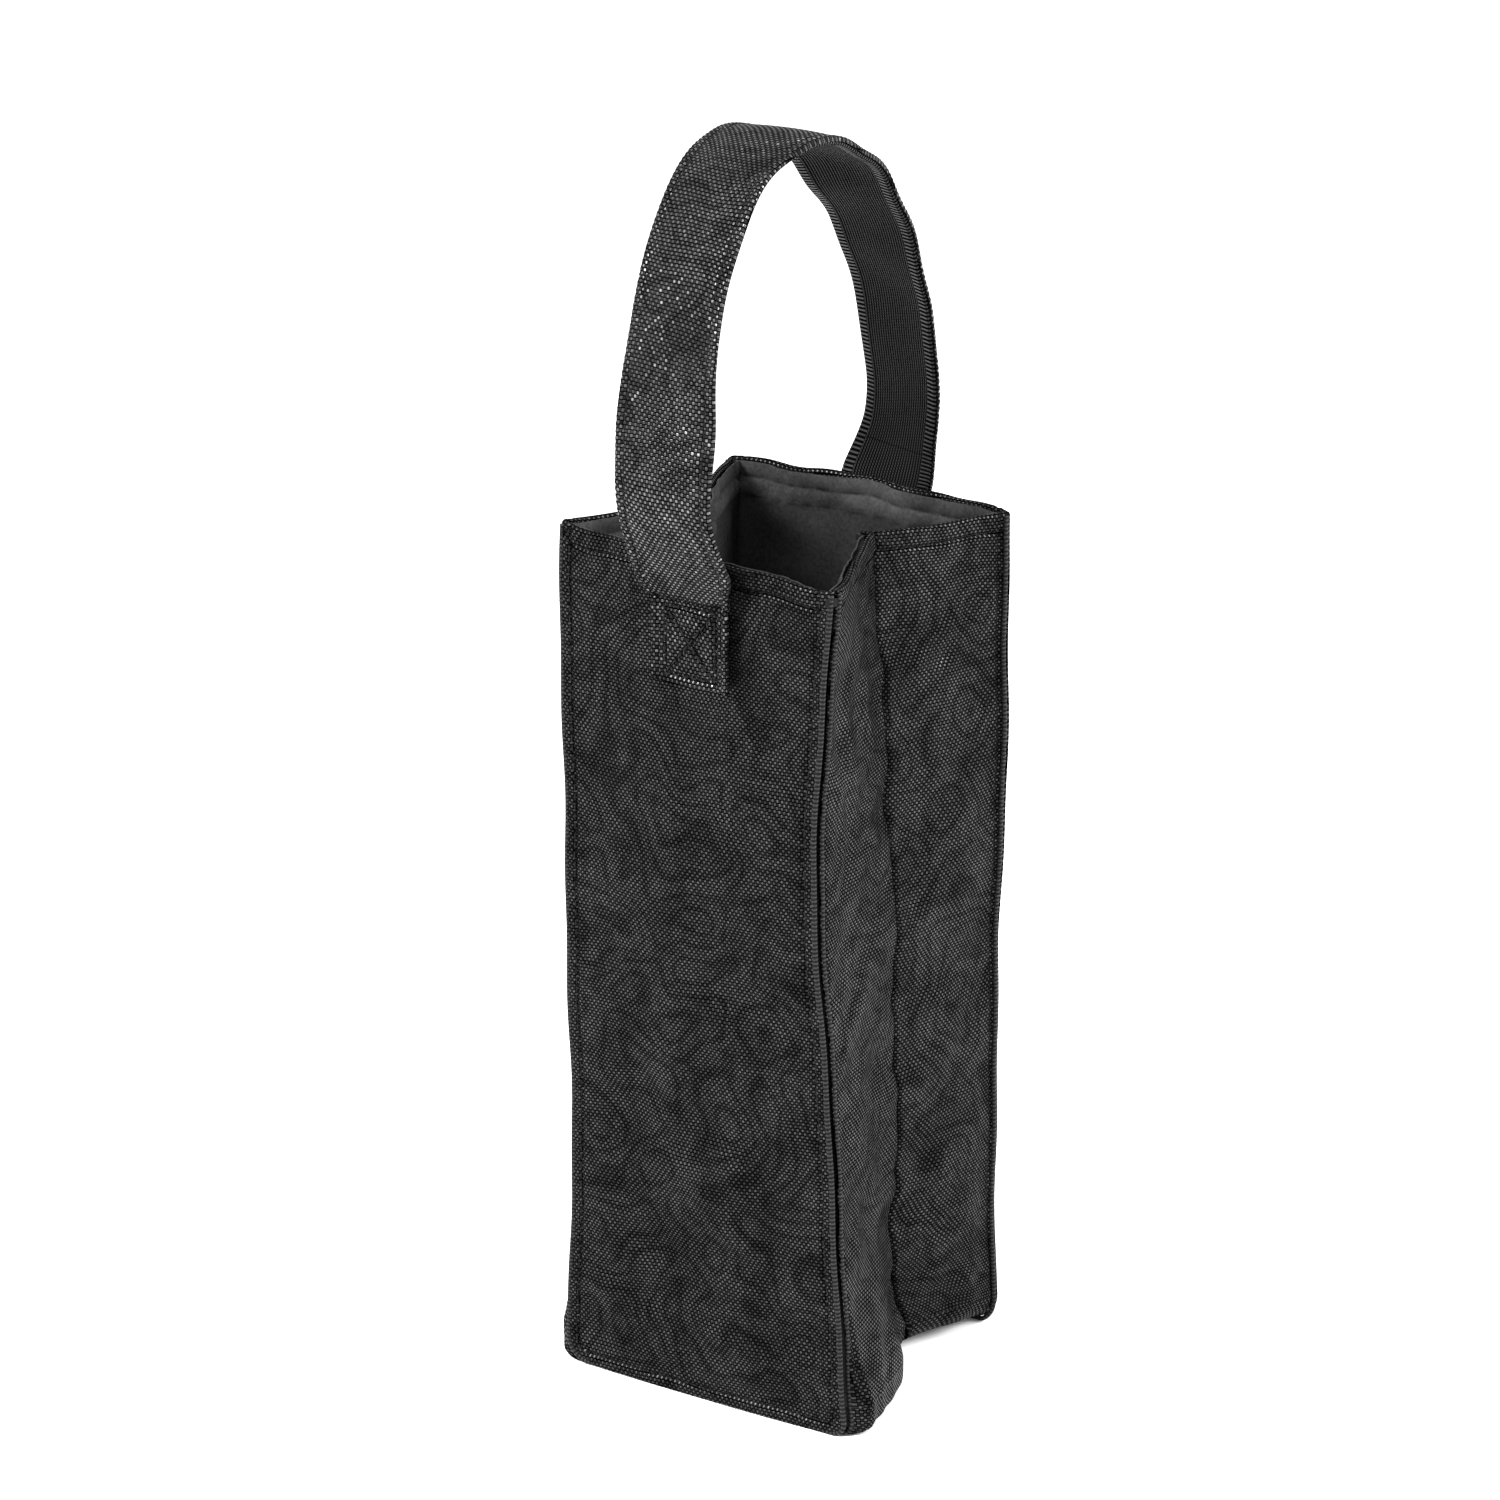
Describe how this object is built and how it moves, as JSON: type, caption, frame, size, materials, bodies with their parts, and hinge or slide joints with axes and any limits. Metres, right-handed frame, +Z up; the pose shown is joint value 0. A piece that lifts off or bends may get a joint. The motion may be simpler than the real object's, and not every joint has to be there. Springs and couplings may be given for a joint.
{
  "type": "bottle gift bag",
  "caption": "Tall lined cloth bag for one bottle, with gusseted sides that fold flat and one wide strap looped over the open mouth.",
  "frame": {"origin": "middle of the base on the floor", "axes": "+Z up, the front panel faces -Y, the gusseted sides face +X and -X"},
  "size_m": [0.098, 0.135, 0.3895],
  "materials": {
    "bag_weave": "coarse black plain weave, slightly shiny yarn",
    "seam_ridge": "the same weave turned over a cord of seam allowance and topstitched",
    "strap_weave": "coarse black plain weave with glints",
    "webbing": "black ribbed webbing, satin",
    "lining": "matt charcoal non-woven lining",
    "hem_facing": "matt charcoal facing, turned and stitched",
    "stitching": "black sewing thread"
  },
  "bodies": {
    "front_panel": {"front_panel": "bag_weave", "front_lining": "lining", "front_hem": "hem_facing", "front_edge_seam": "seam_ridge", "front_edge_thread": "stitching", "front_hem_thread": "stitching", "front_corner_tacks": "stitching", "front_strap_end": "strap_weave", "front_webbing_end": "webbing", "front_box_stitch": "stitching", "base_panel": "bag_weave", "base_lining": "lining"},
    "right_front_gusset": {"right_front_gusset": "bag_weave", "right_front_lining": "lining", "right_front_hem": "hem_facing", "right_front_thread": "stitching"},
    "right_rear_gusset": {"right_rear_gusset": "bag_weave", "right_rear_lining": "lining", "right_rear_hem": "hem_facing", "right_rear_thread": "stitching"},
    "left_front_gusset": {"left_front_gusset": "bag_weave", "left_front_lining": "lining", "left_front_hem": "hem_facing", "left_front_thread": "stitching"},
    "left_rear_gusset": {"left_rear_gusset": "bag_weave", "left_rear_lining": "lining", "left_rear_hem": "hem_facing", "left_rear_thread": "stitching"},
    "back_panel": {"back_panel": "bag_weave", "back_lining": "lining", "back_hem": "hem_facing", "back_edge_seam": "seam_ridge", "back_edge_thread": "stitching", "back_hem_thread": "stitching", "back_corner_tacks": "stitching", "back_strap_end": "strap_weave", "back_webbing_end": "webbing", "back_box_stitch": "stitching"},
    "front_strap_foot": {"front_strap_foot": "strap_weave", "front_webbing_foot": "webbing", "front_foot_thread": "stitching"},
    "front_strap": {"front_strap": "strap_weave", "front_webbing": "webbing", "front_strap_thread": "stitching"},
    "rear_strap_foot": {"rear_strap_foot": "strap_weave", "rear_webbing_foot": "webbing", "rear_foot_thread": "stitching"},
    "rear_strap": {"rear_strap": "strap_weave", "rear_webbing": "webbing", "rear_strap_thread": "stitching"}
  },
  "joints": [
    {"name": "gusset_fold", "type": "hinge", "parent": "front_panel", "child": "right_front_gusset", "pos_m": [0.0474, -0.0454, 0], "axis": [0, 0, 1], "range_deg": [0, 64], "deforming": ["base_panel", "base_lining"]},
    {"name": "right_crease", "type": "hinge", "parent": "right_front_gusset", "child": "right_rear_gusset", "pos_m": [0.0374, 0, 0], "axis": [0, 0, 1], "range_deg": [-128, 0]},
    {"name": "right_rear_corner", "type": "hinge", "parent": "right_rear_gusset", "child": "back_panel", "pos_m": [0.0474, 0.0454, 0], "axis": [0, 0, 1], "range_deg": [0, 64]},
    {"name": "left_front_corner", "type": "hinge", "parent": "front_panel", "child": "left_front_gusset", "pos_m": [-0.0474, -0.0454, 0], "axis": [0, 0, 1], "range_deg": [-64, 0]},
    {"name": "left_crease", "type": "hinge", "parent": "left_front_gusset", "child": "left_rear_gusset", "pos_m": [-0.0374, 0, 0], "axis": [0, 0, 1], "range_deg": [0, 128]},
    {"name": "handle_swing", "type": "hinge", "parent": "front_panel", "child": "front_strap_foot", "pos_m": [0, -0.05, 0.258], "axis": [0, 1, 0], "range_deg": [-60, 60]},
    {"name": "rear_handle_swing", "type": "hinge", "parent": "back_panel", "child": "rear_strap_foot", "pos_m": [0, 0.05, 0.258], "axis": [0, 1, 0], "range_deg": [-60, 60]},
    {"name": "front_strap_squeeze", "type": "hinge", "parent": "front_strap_foot", "child": "front_strap", "pos_m": [0, -0.066, 0.295], "axis": [1, 0, 0], "range_deg": [0, 19.32]},
    {"name": "rear_strap_squeeze", "type": "hinge", "parent": "rear_strap_foot", "child": "rear_strap", "pos_m": [0, 0.066, 0.295], "axis": [1, 0, 0], "range_deg": [-19.32, 0]}
  ],
  "couplings": [
    {"joint": "right_crease", "follows": "gusset_fold", "ratio": -2},
    {"joint": "right_rear_corner", "follows": "gusset_fold", "ratio": 1},
    {"joint": "left_front_corner", "follows": "gusset_fold", "ratio": -1},
    {"joint": "left_crease", "follows": "gusset_fold", "ratio": 2},
    {"joint": "front_strap_squeeze", "follows": "gusset_fold", "ratio": 0.30188},
    {"joint": "rear_strap_squeeze", "follows": "gusset_fold", "ratio": -0.30188},
    {"joint": "rear_handle_swing", "follows": "handle_swing", "ratio": 1}
  ]
}
